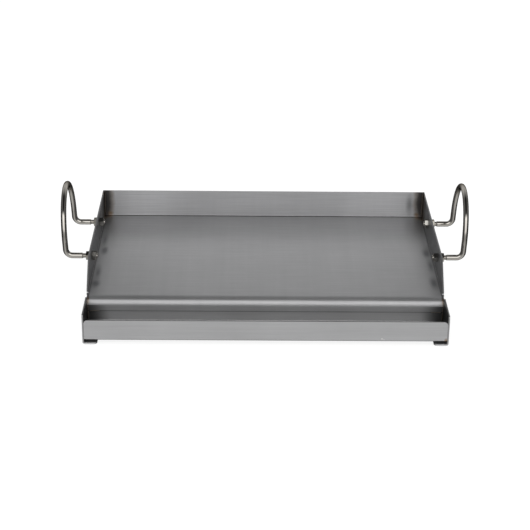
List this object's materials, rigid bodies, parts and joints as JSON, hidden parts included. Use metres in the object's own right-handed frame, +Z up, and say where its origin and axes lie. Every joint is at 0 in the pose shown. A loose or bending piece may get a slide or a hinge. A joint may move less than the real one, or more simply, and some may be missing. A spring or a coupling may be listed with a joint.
{
  "type": "flat top griddle",
  "caption": "Folded sheet-steel griddle tray with a front grease trough, braced underside and a bolt-on rod handle at each side.",
  "frame": {"origin": "middle of the tray's footprint, on the surface it stands on", "axes": "+X to the right across the width, -Y towards the grease trough and the cook, +Z up"},
  "size_m": [0.535, 0.3302, 0.1398],
  "materials": {
    "pan_steel": "mill-finish sheet with a fine straight grain, heat tint at the welds",
    "trough_steel": "mill-finish sheet with a fine straight grain",
    "brace_steel": "plain mill-finish bar",
    "handle_steel": "bright polished rod",
    "nut_steel": "bright plated steel",
    "weld_metal": "heat-darkened weld bead"
  },
  "bodies": {
    "griddle": {"griddle_pan": "pan_steel", "grease_trough": "trough_steel", "end_cap_left": "trough_steel", "end_cap_right": "trough_steel", "side_rail_left": "brace_steel", "side_rail_right": "brace_steel", "long_brace": "brace_steel", "rib_left": "brace_steel", "rib_mid": "brace_steel", "rib_right": "brace_steel", "corner_welds": "weld_metal", "cap_weld_left": "weld_metal", "cap_weld_right": "weld_metal", "seam_welds": "weld_metal", "brace_welds": "weld_metal"},
    "handle_set_left": {"handle_left": "handle_steel", "outer_nut_left_front": "nut_steel", "outer_nut_left_rear": "nut_steel"},
    "nut_left_front": {"inner_nut_left_front": "nut_steel"},
    "nut_left_rear": {"inner_nut_left_rear": "nut_steel"},
    "handle_set_right": {"handle_right": "handle_steel", "outer_nut_right_front": "nut_steel", "outer_nut_right_rear": "nut_steel"},
    "nut_right_front": {"inner_nut_right_front": "nut_steel"},
    "nut_right_rear": {"inner_nut_right_rear": "nut_steel"}
  },
  "joints": [
    {"name": "handle_left_draw", "type": "slide", "parent": "griddle", "child": "handle_set_left", "axis": [-1, 0, 0], "range_m": [0, 0.012]},
    {"name": "inner_nut_left_front_off", "type": "slide", "parent": "griddle", "child": "nut_left_front", "axis": [1, 0, 0], "range_m": [0, 0.009]},
    {"name": "inner_nut_left_rear_off", "type": "slide", "parent": "griddle", "child": "nut_left_rear", "axis": [1, 0, 0], "range_m": [0, 0.009]},
    {"name": "handle_right_draw", "type": "slide", "parent": "griddle", "child": "handle_set_right", "axis": [1, 0, 0], "range_m": [0, 0.012]},
    {"name": "inner_nut_right_front_off", "type": "slide", "parent": "griddle", "child": "nut_right_front", "axis": [-1, 0, 0], "range_m": [0, 0.009]},
    {"name": "inner_nut_right_rear_off", "type": "slide", "parent": "griddle", "child": "nut_right_rear", "axis": [-1, 0, 0], "range_m": [0, 0.009]}
  ],
  "couplings": [
    {"joint": "inner_nut_left_front_off", "follows": "handle_left_draw", "ratio": 0.75},
    {"joint": "inner_nut_left_rear_off", "follows": "handle_left_draw", "ratio": 0.75},
    {"joint": "inner_nut_right_front_off", "follows": "handle_right_draw", "ratio": 0.75},
    {"joint": "inner_nut_right_rear_off", "follows": "handle_right_draw", "ratio": 0.75}
  ]
}
